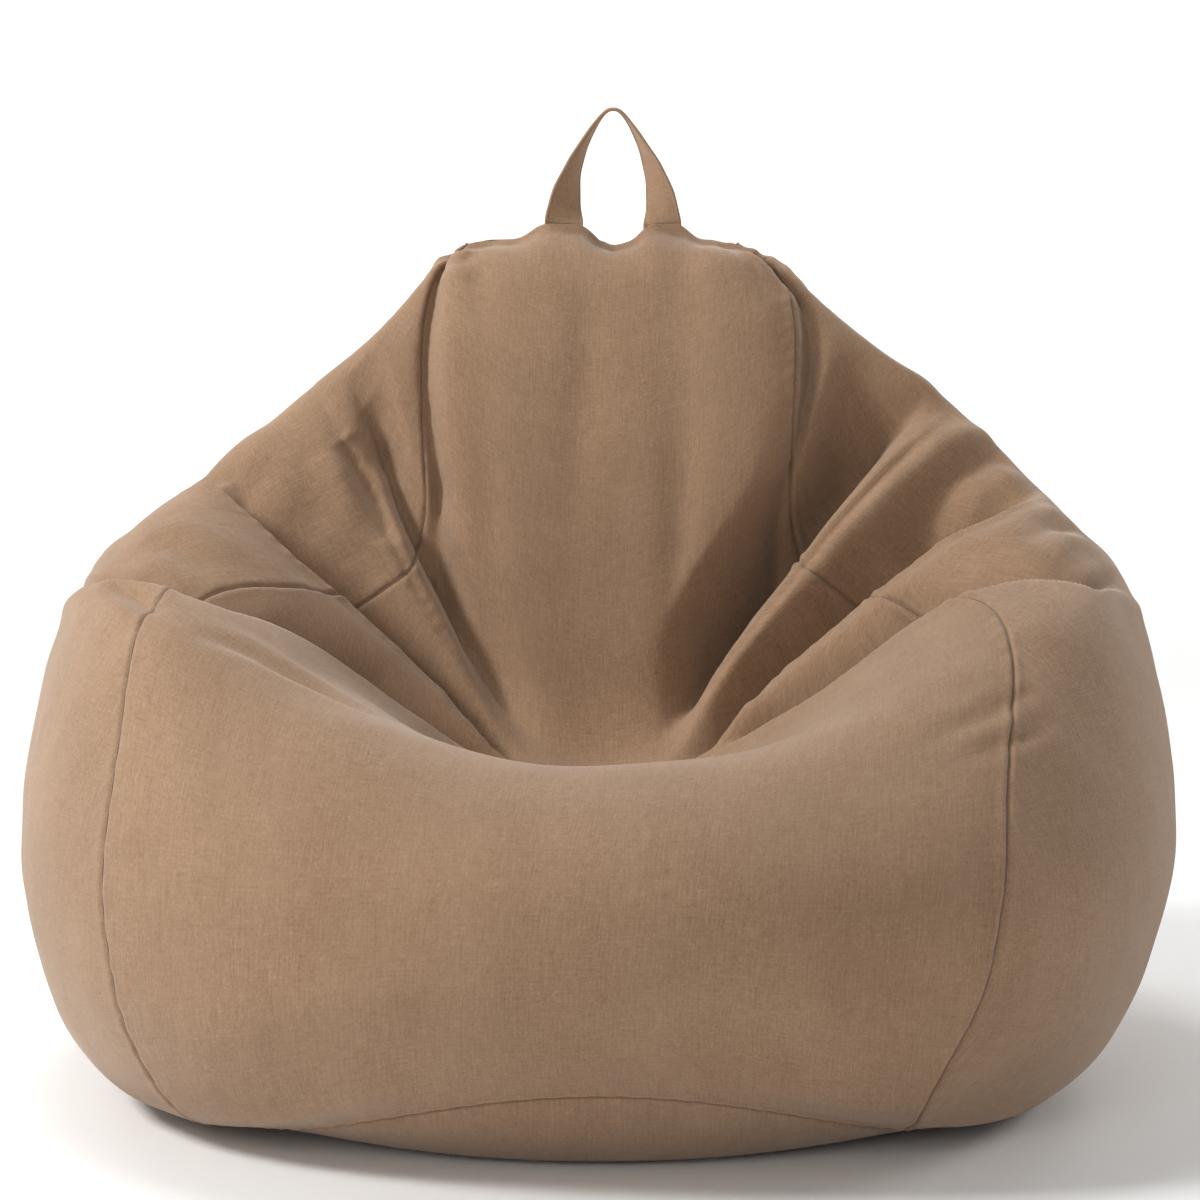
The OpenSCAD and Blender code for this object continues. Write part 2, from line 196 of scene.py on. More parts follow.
def wovenFinish(name, colour, shade, perMetre, rough):
    # plain fine weave for tapes and for the inner bag
    f = Finish(name)
    where = f.node("ShaderNodeTexCoord", out=3)
    parts = f.node("ShaderNodeSeparateXYZ", {}, {0: where})
    across = Val(f, parts.socket.node.outputs[0])
    up = Val(f, parts.socket.node.outputs[2])
    ribs = ((across + up) * (perMetre * math.pi)).sine() * ((across - up) * (perMetre * math.pi)).sine()
    fuzz = f.noise(where, 260.0, 4.0, 0.65)
    soft = f.noise(where, 14.0, 3.0, 0.5)
    tone = f.ramp(ribs * 0.3 + fuzz * 0.5 + soft * 0.3, 0.25, 0.75)
    return f.set(Base_Color=f.blend(tone, shade, colour), Roughness=rough + fuzz * 0.12,
                 Normal=f.bump(ribs * 0.5 + fuzz, 0.0003, 0.5), Sheen_Weight=0.15)


zipTape = wovenFinish("zipTape", rgb(0.205, 0.130, 0.086), rgb(0.135, 0.084, 0.054), 700.0, 0.8)
linerCloth = wovenFinish("linerCloth", rgb(0.80, 0.79, 0.76), rgb(0.66, 0.65, 0.61), 420.0, 0.76)


def beadFinish(name):
    # small foam balls packed side by side, with painted shade in the gaps between them
    f = Finish(name)
    where = f.node("ShaderNodeTexCoord", out=3)
    cells = f.node("ShaderNodeTexVoronoi", {}, {"Vector": where, "Scale": 190.0})
    dome = 1.0 - cells * 1.5
    # painted shade: grey where the balls meet, white on their tops
    tone = f.ramp(dome, 0.1, 0.75)
    return f.set(Base_Color=f.blend(tone, rgb(0.58, 0.58, 0.57), rgb(0.92, 0.92, 0.91)),
                 Roughness=0.62 - tone * 0.1, Normal=f.bump(dome, 0.003, 0.8))


def metalFinish(name, colour, rough):
    f = Finish(name)
    where = f.node("ShaderNodeTexCoord", out=3)
    wear = f.noise(where, 320.0, 4.0, 0.6)
    brush = f.noise(f.stretch(where, 2600.0, 300.0, 300.0), 1.0, 2.0, 0.5)
    return f.set(Base_Color=colour, Metallic=1.0, Roughness=rough + wear * 0.2,
                 Normal=f.bump(brush + wear, 0.00006, 0.5))


zipMetal = metalFinish("zipMetal", rgb(0.34, 0.31, 0.28), 0.26)
print("finishes made")


# The cover's shape
# A point of the cover has an angle u round the bag (0 front, 90 right, 180 back, in degrees)
# and a height v counted in rings, from 0 at the base seam to 14 at the top seam.

cover = {
    "width": 1.0,
    "depth": 0.96,
    "backHeight": 0.73,
    "armHeight": 0.43,
    "lipHeight": 0.318,
    "seatHeight": 0.24,
    "topWidth": 0.244,
    "ridgeY": 0.21,
    "ridgeGap": 0.0018,
    "arcRadius": 0.42,
    "arcZ": 0.20,
    "seamLean": 8.0,
    "leanTop": 9.0,
    "rowsPerRing": 22,
    "cloth": 0.0016,
}
arcY = cover["depth"] / 2 - cover["arcRadius"]
arcAngles = [-23, -17, -11, 0, 11.5, 23.5, 36, 50]
neckY = [0.22, 0.42, 0.58, 0.72, 0.84, 0.94]
neckZ = [0.13, 0.30, 0.47, 0.64, 0.79, 0.91]


def smoothAt(table, v):
    # a smooth row of a table at any height, through all of its rows
    table, v = np.asarray(table, float), np.asarray(v, float)
    last = len(table) - 1
    i = np.clip(np.floor(v).astype(int), 0, last - 1)
    t = v - i
    if table.ndim > 1:
        t = t[..., None]
    rows = np.concatenate([[2 * table[0] - table[1]], table, [2 * table[last] - table[last - 1]]])
    a, b, c, d = rows[i], rows[i + 1], rows[i + 2], rows[i + 3]
    return b + 0.5 * t * (c - a + t * (2 * a - 5 * b + 4 * c - d + t * (3 * (b - c) + d - a)))


def onArc(angle):
    a = np.radians(angle)
    r = cover["arcRadius"]
    return np.stack([arcY + r * np.cos(a), cover["arcZ"] + r * np.sin(a)], -1)


# the back is an arc, and then a neck that narrows to the top seam
backTop = np.array([cover["ridgeY"] + cover["ridgeGap"], cover["backHeight"]])
neckStart = onArc(arcAngles[-1])
neck = neckStart + (backTop - neckStart) * np.array([neckY, neckZ]).T
backTable = np.vstack([onArc(arcAngles), neck, backTop])


def backAt(v):
    v = np.asarray(v, float)
    onTheArc = onArc(smoothAt(arcAngles, np.minimum(v, len(arcAngles) - 1)))
    return np.where((v <= len(arcAngles) - 1)[..., None], onTheArc, smoothAt(backTable, v))


lip, seat, arm = cover["lipHeight"], cover["seatHeight"], cover["armHeight"]
rise = cover["backHeight"] - arm
ridgeShare = (cover["ridgeY"] - cover["ridgeGap"]) * 2 / cover["depth"]
# share of the half width, share of the half depth in front, height in front, height at the side,
# angle of the front seam, angle of the back seam, squareness, narrowness of the dip, roundness,
# and how much further the right side stands out than the left
coverRings = [
    (0.660, -0.868, 0.23 * lip, 0.002, 52, 140, 0.10, 4.0, 1.0, 0.000),
    (0.800, -0.920, 0.32 * lip, 0.007, 45, 139, 0.10, 4.0, 1.0, -0.012),
    (0.902, -0.960, 0.42 * lip, 0.046, 42, 138, 0.11, 3.5, 1.0, -0.012),
    (0.968, -1.000, 0.57 * lip, 0.27 * arm, 42, 137, 0.12, 3.0, 1.0, -0.010),
    (1.000, -0.982, 0.77 * lip, 0.50 * arm, 42, 136, 0.12, 2.8, 1.0, -0.004),
    (0.972, -0.872, 0.92 * lip, 0.78 * arm, 44, 134, 0.10, 3.0, 1.0, 0.000),
    (0.908, -0.698, lip, arm, 49, 131, 0.08, 3.3, 1.0, 0.004),
    (0.824, -0.469, seat + 0.050, arm + 0.13 * rise, 52, 128, 0.04, 3.0, 1.0, 0.012),
    (0.722, -0.198, seat, arm + 0.25 * rise, 48, 124, 0.00, 2.6, 1.0, 0.026),
    (0.622, 0.031, seat + 0.022, arm + 0.38 * rise, 42, 120, 0.00, 2.5, 1.0, 0.038),
    (0.528, 0.156, seat + 0.110, arm + 0.51 * rise, 37, 116, 0.00, 2.5, 0.95, 0.042),
    (0.436, 0.233, seat + 0.230, arm + 0.64 * rise, 47, 112, 0.00, 2.5, 0.85, 0.032),
    (0.356, 0.308, seat + 0.352, arm + 0.78 * rise, 63, 108, 0.00, 2.5, 0.65, 0.020),
    (0.290, 0.386, seat + 0.452, arm + 0.91 * rise, 79, 102, 0.00, 2.5, 0.42, 0.014),
    (cover["topWidth"], ridgeShare, cover["backHeight"], cover["backHeight"] - 0.002,
     84, 97, 0.00, 2.5, 0.1, 0.004),
]
topRing = len(coverRings) - 1
ringTable = np.array([(w * cover["width"] / 2, d * cover["depth"] / 2) + tuple(row)
                      for w, d, *row in coverRings])


def ringAt(v):
    return smoothAt(ringTable, v)


def skinPoint(u, v):
    # the smooth outer face, before any fold
    r, back = ringAt(v), backAt(v)
    a = np.radians(u)
    c, s = np.cos(a), np.sin(a)
    endZ = np.where(c > 0, r[..., 2], back[..., 1])
    half = r[..., 0] + r[..., 9] * np.clip(s, 0, 1) * (0.5 + 0.5 * np.clip(s, 0, 1))
    reach = np.sign(c) * np.abs(c) ** r[..., 8] * (1 + r[..., 6] * s * s)
    x = half * s * (1 + r[..., 6] * c * c)
    y = (r[..., 1] + back[..., 0]) / 2 - (back[..., 0] - r[..., 1]) / 2 * reach
    z = r[..., 3] + (endZ - r[..., 3]) * np.abs(c) ** r[..., 7]
    return np.stack([x, y, z], -1)


def frontSeam(v, side):
    r = ringAt(v)
    return r[..., 4] - side * cover["seamLean"] * np.clip(1 - (np.asarray(v) / cover["leanTop"]) ** 2, 0, 1)


def backSeam(v):
    return ringAt(v)[..., 5]


def smooth(t):
    t = np.clip(t, 0, 1)
    return t * t * (3 - 2 * t)


# Folds
# Creases fan out from the inner corners of the seat, over the arms, to the shoulders. Each is a list of
# (angle from the front, height in rings). Between two creases the cloth stands up as a roll.
# Depths and rolls are lists of (angle, metres): how deep each crease is, and how high each roll's crest.

folds = {
    "left": {
        "lipCrease": [(11, 8.58), (20, 8.36), (27, 8.14), (34, 7.90), (39, 7.57), (44, 7.18), (48, 6.85),
                      (55, 6.62), (75, 6.12), (95, 5.8)],
        "armCrease": [(11, 8.64), (20, 8.79), (26, 8.86), (34, 8.82), (43, 8.66), (52, 8.42), (60, 8.32),
                      (74, 8.13), (92, 7.7)],
        "wingCrease": [(11, 8.84), (22, 9.24), (29, 9.46), (37, 9.66), (42, 9.79), (48, 9.94), (56, 10.02),
                       (72, 10.1), (100, 10.1)],
        "columnEdge": [(10, 8.90), (14, 8.95), (21, 9.39), (28, 9.85), (34, 10.24), (37, 10.6), (42, 10.88),
                       (50, 11.35), (62, 12.2), (80, 13.2)],
        "depths": [[(10, 0.012), (18, 0.034), (34, 0.052), (50, 0.048), (64, 0.034), (80, 0.016), (98, 0.0)],
                   [(10, 0.016), (20, 0.050), (36, 0.064), (54, 0.052), (66, 0.034), (80, 0.016), (96, 0.0)],
                   [(10, 0.014), (22, 0.030), (40, 0.034), (52, 0.034), (62, 0.010), (74, 0.0)]],
        "rolls": [[(10, 0.0), (26, 0.012), (48, 0.010), (70, 0.0)],
                  [(10, 0.0), (26, 0.010), (52, 0.010), (84, 0.0)],
                  [(10, 0.0), (26, 0.006), (60, 0.0), (90, 0.0)]],
        "drop": (0.013, 0.011, 0.030),
        "rise": (1.05, 0.9),
        "backReach": 0.070,
    },
    "right": {
        "lipCrease": [(11, 8.60), (20, 8.50), (27, 8.20), (34, 8.00), (42, 7.74), (47, 7.50), (52, 7.18),
                      (57, 6.90), (66, 6.15), (80, 5.95), (95, 5.8)],
        "armCrease": [(11, 8.66), (19, 8.67), (30, 8.78), (41, 8.61), (48, 8.45), (56, 8.35), (64, 8.08),
                      (78, 7.8), (100, 7.4)],
        "wingCrease": [(11, 8.95), (20, 9.34), (28, 9.54), (36, 9.64), (43, 9.70), (52, 9.72), (61, 9.70),
                       (70, 9.65), (100, 9.6)],
        "columnEdge": [(8, 9.04), (17, 9.42), (25, 9.80), (31, 10.04), (36, 10.40), (43, 10.69), (54, 11.2),
                       (71, 12.1)],
        "depths": [[(10, 0.012), (18, 0.034), (34, 0.056), (50, 0.056), (62, 0.040), (74, 0.018), (90, 0.0)],
                   [(10, 0.016), (20, 0.050), (36, 0.076), (54, 0.070), (66, 0.040), (78, 0.012), (90, 0.0)],
                   [(10, 0.020), (20, 0.058), (34, 0.086), (50, 0.080), (60, 0.050), (70, 0.020), (82, 0.0)]],
        "rolls": [[(10, 0.0), (26, 0.012), (48, 0.010), (70, 0.0)],
                  [(10, 0.0), (24, 0.018), (48, 0.018), (66, 0.006), (78, 0.0)],
                  [(10, 0.0), (24, 0.026), (48, 0.022), (62, 0.008), (74, 0.0)]],
        "drop": (0.012, 0.012, 0.026),
        "rise": (1.05, 1.0),
        "backReach": 0.115,
    },
}

# smaller creases: side, points on the cover, depth, half width and how sharp they are
smallCreases = [
    (-1, [(46, 6.20), (38, 6.48), (30, 6.56), (23, 6.5)], 0.007, 0.011, 1.2),
    (-1, [(96, 5.75), (82, 6.02), (70, 6.35), (62, 6.75)], 0.010, 0.012, 1.2),
    (-1, [(66, 6.28), (58, 6.30), (52, 6.22)], 0.010, 0.010, 1.2),
    (-1, [(92, 7.95), (84, 8.45), (72, 8.62), (62, 8.55)], 0.012, 0.020, 1.6),
    (-1, [(60, 10.02), (54, 10.03), (48, 9.92), (42, 9.72)], 0.014, 0.016, 1.4),
    (-1, [(74, 7.05), (66, 7.30), (56, 7.45)], 0.006, 0.016, 1.6),
    (1, [(88, 8.50), (80, 8.72), (68, 8.95), (58, 9.00), (50, 8.92)], 0.012, 0.015, 1.3),
    (1, [(86, 7.10), (80, 7.25), (72, 7.42), (64, 7.40)], 0.008, 0.013, 1.3),
    (1, [(86, 9.6), (78, 9.78), (70, 9.95), (60, 10.0)], 0.007, 0.018, 1.5),
    (1, [(88, 5.92), (78, 6.05), (70, 6.2)], 0.008, 0.012, 1.3),
    (1, [(46, 5.62), (38, 5.55), (30, 5.50)], 0.0030, 0.009, 1.6),
    (1, [(47, 5.35), (40, 5.25), (33, 5.25)], 0.0026, 0.008, 1.6),
    (-1, [(84, 13.6), (78, 13.2), (70, 12.9)], 0.008, 0.009, 1.2),
    (-1, [(74, 12.75), (58, 12.8), (50, 12.9)], 0.006, 0.007, 1.2),
    (1, [(86, 13.5), (80, 12.9), (74, 12.3)], 0.006, 0.009, 1.3),
]


def lineHeight(points, u):
    # the second value of a list of pairs, at any angle
    return np.interp(u, [p[0] for p in points], [p[1] for p in points])


def drop(away, width):
    # 0 at a crest and 1 in the crease just behind it
    t = np.clip(away / width, 0, 1)
    return 1 - np.sqrt(1 - t * t) * (1 - t * 0.15)


def foldHeight(u, v, metresPerRing):
    # from each crease the cloth climbs to the next roll's crest and then drops steeply behind it
    lift = np.zeros_like(u)
    for name, sign in (("left", -1), ("right", 1)):
        side = folds[name]
        a = sign * u
        inner = smooth((a - 8) / 12)
        tops = [lineHeight(side[k], a) for k in ("lipCrease", "armCrease", "wingCrease")]
        lows = [lineHeight(side["depths"][k], a) * inner for k in range(3)]
        crests = [lineHeight(side["rolls"][k], a) * inner for k in range(3)]
        creases = [top + np.maximum(side["drop"][k], lows[k] * 0.30) / metresPerRing
                   for k, top in enumerate(tops)]
        for k in (1, 2):
            room = np.maximum((tops[k] - creases[k - 1]) * metresPerRing, 0.0)
            lows[k - 1] = np.minimum(lows[k - 1], 0.008 + room * 0.95)
        level = np.zeros_like(u)
        ahead = np.clip((tops[0] - v) * metresPerRing / 0.26, 0, 1)
        level = np.where(v < tops[0], crests[0] * (1 - smooth(ahead)), level)
        for k in range(3):
            width = np.maximum((creases[k] - tops[k]) * metresPerRing, 1e-4)
            fall = drop((v - tops[k]) * metresPerRing, width)
            falling = (v >= tops[k]) & (v < creases[k])
            level = np.where(falling, crests[k] - (crests[k] + lows[k]) * fall, level)
            if k < 2:
                t = np.clip((v - creases[k]) / np.maximum(tops[k + 1] - creases[k], 0.02), 0, 1)
                climb = np.sin(np.clip(t / 0.80, 0, 1) * math.pi / 2) ** side["rise"][k]
                climb = climb - 0.10 * smooth((t - 0.8) / 0.2)
                rising = (v >= creases[k]) & (v < tops[k + 1])
                level = np.where(rising, -lows[k] + (lows[k] + crests[k + 1]) * climb, level)
        back = np.clip((v - creases[2]) * metresPerRing / side["backReach"], 0, 1)
        level = np.where(v >= creases[2], -lows[2] * (1 - smooth(back)), level)
        lift = lift + np.where((a > 0) & (a < 125), level, 0)
    return lift


def nearLine(p, side, points, count=36):
    # distance from every point to a line drawn on the cover, and the place along it from 0 to 1
    places = np.linspace(0, 1, count)
    at = np.linspace(0, 1, len(points))
    line = skinPoint(side * np.interp(places, at, [q[0] for q in points]),
                     np.interp(places, at, [q[1] for q in points]))
    best = np.full(p.shape[:2], 9.0)
    where = np.zeros(p.shape[:2])
    for k in range(count - 1):
        step = line[k + 1] - line[k]
        t = np.clip(((p - line[k]) @ step) / (step @ step), 0, 1)
        away = np.linalg.norm(p - line[k] - t[..., None] * step, axis=2)
        nearer = away < best
        best = np.where(nearer, away, best)
        where = np.where(nearer, (k + t) / (count - 1), where)
    return best, where


def smallCreaseHeight(p):
    lift = np.zeros(p.shape[:2])
    for side, points, depth, half, sharp in smallCreases:
        away, where = nearLine(p, side, points)
        ends = np.sin(np.pi * np.clip(where, 0.0, 1.0)) ** 0.6
        cut = -np.exp(-(away / half) ** sharp)
        banks = 0.45 * np.exp(-((away - 1.9 * half) / half) ** 2)
        lift = lift + depth * (cut + banks) * ends
    return lift


column = {
    "bulge": 0.030,
    "flutes": [(-0.66, 0.0030, 0.10), (-0.10, 0.0026, 0.10), (0.40, 0.0040, 0.09), (0.84, 0.0036, 0.06)],
}


def columnHeight(u, v):
    # the backrest between its two limits: a full cushion with soft upright hollows
    limits = {}
    for name, sign in (("left", -1), ("right", 1)):
        points = folds[name]["columnEdge"]
        limits[name] = np.interp(v, [p[1] for p in points], [p[0] for p in points])
    share = np.where(u < 0, u / limits["left"], u / limits["right"])
    on = smooth((v - 9.0) / 1.4) * (1 - smooth((v - 12.6) / 1.3))
    lift = column["bulge"] * np.clip(1 - np.abs(share) ** 3.2, 0, 1) ** 0.55 * on
    edge = np.exp(-((np.abs(share) - 1.0) / 0.07) ** 2) * 0.012 * on
    for place, depth, width in column["flutes"]:
        middle = place + 0.05 * np.sin(v * 1.7 + 9 * place)
        strength = 0.75 + 0.45 * np.sin(v * 2.3 + 5 * place)
        lift = lift - depth * strength * np.exp(-((share - middle) / width) ** 2) * smooth((v - 9.5) / 1.5)
    return np.where(np.abs(u) < 90, lift - edge, 0)


# The grid

seamSteps = np.array([0.0, 0.0010, 0.0020, 0.0032, 0.0048, 0.0068, 0.0095, 0.0135, 0.019])


def spread(width, count):
    # shares from 0 to 1 across a panel of that width, close together at both seams
    near = seamSteps * np.minimum(1.0, width[:, None] / (5 * seamSteps[-1]))
    near = near / width[:, None]
    middle = np.linspace(0, 1, count + 2)[1:-1][None, :]
    inner = near[:, -1:] + (1 - 2 * near[:, -1:]) * middle
    return np.hstack([near, inner, 1 - near[:, ::-1]])


def evenRows():
    parts = [np.linspace(k, k + 1, cover["rowsPerRing"], endpoint=False) for k in range(topRing)]
    rows = np.concatenate(parts + [[float(topRing)]])
    close = np.array([0.012, 0.025, 0.04])
    return np.unique(np.round(np.concatenate([rows, close, topRing - close]), 5))


rowV = evenRows()
zipOpen = {"from": 1 + 1 / 3, "to": 7.0, "half": 0.0055, "ease": 0.33}


def zipShare(v):
    # 1 where the back is open for the zip
    opening = smooth((v - zipOpen["from"] + zipOpen["ease"]) / zipOpen["ease"])
    return opening * (1 - smooth((v - zipOpen["to"]) / zipOpen["ease"]))


def backGap(v):
    # how far each back panel's edge is from the middle
    return 0.0001 + zipOpen["half"] * zipShare(v)


def panelAngles(uFrom, uTo, count):
    # columns of angles from one seam to the other, spaced by real distance
    share = np.linspace(0, 1, 33)[None, :]
    u = uFrom[:, None] + (uTo - uFrom)[:, None] * share
    p = skinPoint(u, np.repeat(rowV[:, None], u.shape[1], 1))
    run = np.cumsum(np.linalg.norm(np.diff(p, axis=1), axis=2), axis=1)
    run = np.hstack([np.zeros((len(rowV), 1)), run])
    shares = spread(run[:, -1], count)
    out = np.empty((len(rowV), shares.shape[1]))
    for j in range(len(rowV)):
        out[j] = np.interp(shares[j] * run[j, -1], run[j], u[j])
    return out


gapAngle = 180 - np.degrees(np.arcsin(backGap(rowV) / ringAt(rowV)[:, 0]))
edges = {
    "backLeft": -gapAngle, "rearLeft": -backSeam(rowV), "frontLeft": -frontSeam(rowV, -1),
    "frontRight": frontSeam(rowV, 1), "rearRight": backSeam(rowV), "backRight": gapAngle,
}
panels = {
    "rear_left_cloth": ("backLeft", "rearLeft", 34, "rear_left_panel"),
    "left_side_cloth": ("rearLeft", "frontLeft", 92, "left_side_panel"),
    "centre_cloth": ("frontLeft", "frontRight", 130, "centre_panel"),
    "right_side_cloth": ("frontRight", "rearRight", 92, "right_side_panel"),
    "rear_right_cloth": ("rearRight", "backRight", 34, "rear_right_panel"),
}


def gridNormals(p):
    du = np.gradient(p, axis=1)
    dv = np.gradient(p, axis=0)
    n = np.cross(du, dv)
    return n / np.maximum(np.linalg.norm(n, axis=2, keepdims=True), 1e-12)


def wave(x, y, z, seed, size):
    # cheap seeded noise: a few crossed sines
    rng = np.random.default_rng(seed)
    total = np.zeros_like(x)
    for _ in range(6):
        k = rng.normal(size=3) / size
        total = total + np.sin(k[0] * x + k[1] * y + k[2] * z + rng.uniform(0, 6.28))
    return total / 6


def coverLift(u, v, p):
    metresPerRing = np.linalg.norm(np.gradient(p, axis=0), axis=2) / np.abs(np.gradient(v, axis=0))
    return foldHeight(u, v, metresPerRing) + columnHeight(u, v) + smallCreaseHeight(p)


topShape = {"sink": 0.0105, "notch": 0.007, "ends": 0.003, "feet": 0.0036, "round": 0.0020}


def shapeCover(u, v):
    # folds, the backrest and gentle unevenness, as moves along the smooth face's own normal
    p = skinPoint(u, v)
    n = gridNormals(p)
    lift = coverLift(u, v, p)
    body = smooth(v / 1.5) * (1 - smooth((v - 12.5) / 1.5)) * (0.15 + 0.85 * smooth((170 - np.abs(u)) / 25))
    lift = lift + 0.0030 * wave(p[..., 0], p[..., 1], p[..., 2], 4, 0.055) * body
    lift = lift + 0.0012 * wave(p[..., 0], p[..., 1], p[..., 2], 9, 0.022) * body
    p = p + n * lift[..., None]
    # the top edge stands up at the strap's feet and sinks between them and towards its ends
    x = p[..., 0]
    feet = np.exp(-((x + 0.036) / 0.030) ** 4) + np.exp(-((x - 0.060) / 0.024) ** 4)
    feet = np.clip(feet, 0, 1)
    notch = np.clip(1 - np.abs(x - 0.013) / 0.024, 0, 1)
    sink = topShape["sink"] * (1 - feet) + topShape["notch"] * notch
    sink = sink + topShape["ends"] * smooth((np.abs(x) - 0.10) / 0.02)
    p[..., 2] -= (sink - topShape["feet"] * feet) * smooth((v - 12.6) / 1.4)
    # there the cloth passes round the strap
    outward = np.where(np.abs(u) < 90, -topShape["round"], topShape["round"])
    p[..., 1] += outward * feet * smooth((v - 13.2) / 0.7)
    return p


def softened(p, times):
    # averages neighbours, so that folds read as cloth and not as steps
    for _ in range(times):
        q = p.copy()
        q[1:-1, :] = 0.5 * p[1:-1, :] + 0.25 * (p[:-2, :] + p[2:, :])
        p = q.copy()
        p[:, 1:-1] = 0.5 * q[:, 1:-1] + 0.25 * (q[:, :-2] + q[:, 2:])
    return p


seam = {"groove": 0.0017, "grooveWidth": 0.0017, "ridge": 0.0013, "pucker": 0.0008, "puckerStep": 0.021}


def seamMove(distance, along, seed, side):
    # a narrow groove where two panels meet, the seam allowance as a low ridge on one side, small puckers
    rng = np.random.default_rng(seed)
    wobble = np.sin(along / seam["puckerStep"] * 6.28 + 1.7 * np.sin(along / 0.083) + rng.uniform(0, 6))
    groove = -seam["groove"] * np.exp(-(distance / seam["grooveWidth"]) ** 2)
    ridge = seam["ridge"] * np.exp(-((distance - 0.0058) / 0.0034) ** 2) * (1.0 if side else 0.35)
    pucker = seam["pucker"] * wobble * np.exp(-distance / 0.012) * (1 - np.exp(-distance / 0.003))
    return groove + ridge + pucker


def makeMesh(name, points, uv=None, closed=False):
    rows, cols = points.shape[:2]
    index = np.arange(rows * cols).reshape(rows, cols)
    if closed:
        index = np.hstack([index, index[:, :1]])
    quads = np.stack([index[:-1, :-1], index[:-1, 1:], index[1:, 1:], index[1:, :-1]], -1).reshape(-1, 4)
    mesh = bpy.data.meshes.new(name)
    mesh.vertices.add(rows * cols)
    mesh.vertices.foreach_set("co", points.reshape(-1).astype(np.float32))
    mesh.loops.add(quads.size)
    mesh.loops.foreach_set("vertex_index", quads.reshape(-1).astype(np.int32))
    mesh.polygons.add(len(quads))
    mesh.polygons.foreach_set("loop_start", np.arange(0, quads.size, 4, dtype=np.int32))
    mesh.update(calc_edges=True)
    if uv is not None:
        layer = mesh.uv_layers.new(name="cloth")
        layer.data.foreach_set("uv", uv.reshape(-1, 2)[quads.reshape(-1)].reshape(-1).astype(np.float32))
    mesh.polygons.foreach_set("use_smooth", np.ones(len(quads), dtype=bool))
    mesh.validate()
    thing = bpy.data.objects.new(name, mesh)
    scene.collection.objects.link(thing)
    return thing


def thicken(thing, depth):
    solid = thing.modifiers.new("thickness", "SOLIDIFY")
    solid.thickness = depth
    solid.offset = -1


def finished(thing, finish, body, node):
    thing.data.materials.append(finish)
    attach(thing, body)
    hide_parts(node)
    return thing


# all five panels are shaped as one sheet, so that they meet at their seams
columns = [panelAngles(edges[a], edges[b], count) for a, b, count, node in panels.values()]
allU = np.hstack([c if k == 0 else c[:, 1:] for k, c in enumerate(columns)])
allV = np.repeat(rowV[:, None], allU.shape[1], 1)
sheet = softened(shapeCover(allU, allV), 1)
print("cover shaped:", sheet.shape)

first = 0
for k, (name, (a, b, count, node)) in enumerate(panels.items()):
    width = columns[k].shape[1]
    part = sheet[:, first:first + width]
    first += width - 1
    steps = np.linalg.norm(np.diff(part, axis=1), axis=2)
    run = np.hstack([np.zeros((len(rowV), 1)), np.cumsum(steps, axis=1)])
    middle = width // 2
    climb = np.concatenate([[0], np.cumsum(np.linalg.norm(np.diff(part[:, middle], axis=0), axis=1))])
    along = np.repeat(climb[:, None], width, 1)
    uv = np.stack([run - run[:, middle:middle + 1], along], -1)
    fromStart, fromEnd = run, run[:, -1:] - run
    closed = (1 - zipShare(rowV))[:, None]
    startMove = seamMove(fromStart, along, 11 + k, k % 2) * (closed if a == "backLeft" else 1)
    endMove = seamMove(fromEnd, along, 12 + k, (k + 1) % 2) * (closed if b == "backRight" else 1)
    move = startMove + endMove
    up = np.repeat((climb[-1] - climb)[:, None], width, 1)
    move = move + seamMove(along, run, 21, 1) + seamMove(up, run, 22, 0) * 0.5
    points = part + gridNormals(part) * move[..., None]
    thicken(finished(makeMesh(name, points, uv), coverCloth, "cover", node), cover["cloth"])
print("panels made")

# Base panel

baseFlat = 0.79
seamShares = 1 - np.array([0.0, 0.003, 0.006, 0.01, 0.016, 0.024, 0.034])
baseShares = np.concatenate([seamShares, np.linspace(0.95, 0.02, 34)])
rim = sheet[0]
baseMiddle = np.array([0.0, (ringTable[0][1] + backTable[0][0]) / 2, 0.0])


def basePoints():
    s = baseShares[:, None, None]
    flat = baseMiddle + (rim[None] - baseMiddle) * s
    lift = np.clip((baseShares - baseFlat) / (1 - baseFlat), 0, 1) ** 2
    flat[..., 2] = rim[None, :, 2] * lift[:, None]
    return flat[:, ::-1]


base = basePoints()
baseSteps = np.linalg.norm(base - base[:1], axis=2)
baseMove = seamMove(baseSteps, np.repeat(np.arange(base.shape[1])[None] * 0.006, len(base), 0), 5, 0)
base = base + gridNormals(base) * baseMove[..., None]
base[..., 2] = np.maximum(base[..., 2], 0.0002)
basePanel = makeMesh("base_cloth", base, base[..., :2].copy())
thicken(finished(basePanel, coverCloth, "cover", "base_panel"), cover["cloth"])
print("base made")

# Inner bag and beads

inner = {"columns": 160, "rowsPerRing": 6, "linerDepth": 0.0075, "fillDepth": 0.0135, "cloth": 0.0006}


def lowest(grid, reach):
    # the least value within reach cells, so that what lies inside stays clear of every crease
    out = grid.copy()
    for _ in range(reach):
        rows = np.pad(out, ((1, 1), (0, 0)), mode="edge")
        out = np.minimum(out, np.minimum(rows[:-2], rows[2:]))
        out = np.minimum(out, np.minimum(np.roll(out, 1, 1), np.roll(out, -1, 1)))
    return out


def sheetTree():
    # the cover's outer face as a search tree, with its faces turned outwards
    rows, cols = sheet.shape[:2]
    index = np.arange(rows * cols).reshape(rows, cols)
    quads = np.stack([index[:-1, :-1], index[:-1, 1:], index[1:, 1:], index[1:, :-1]], -1).reshape(-1, 4)
    return BVHTree.FromPolygons(sheet.reshape(-1, 3).tolist(), quads.tolist())


coverTree = sheetTree()


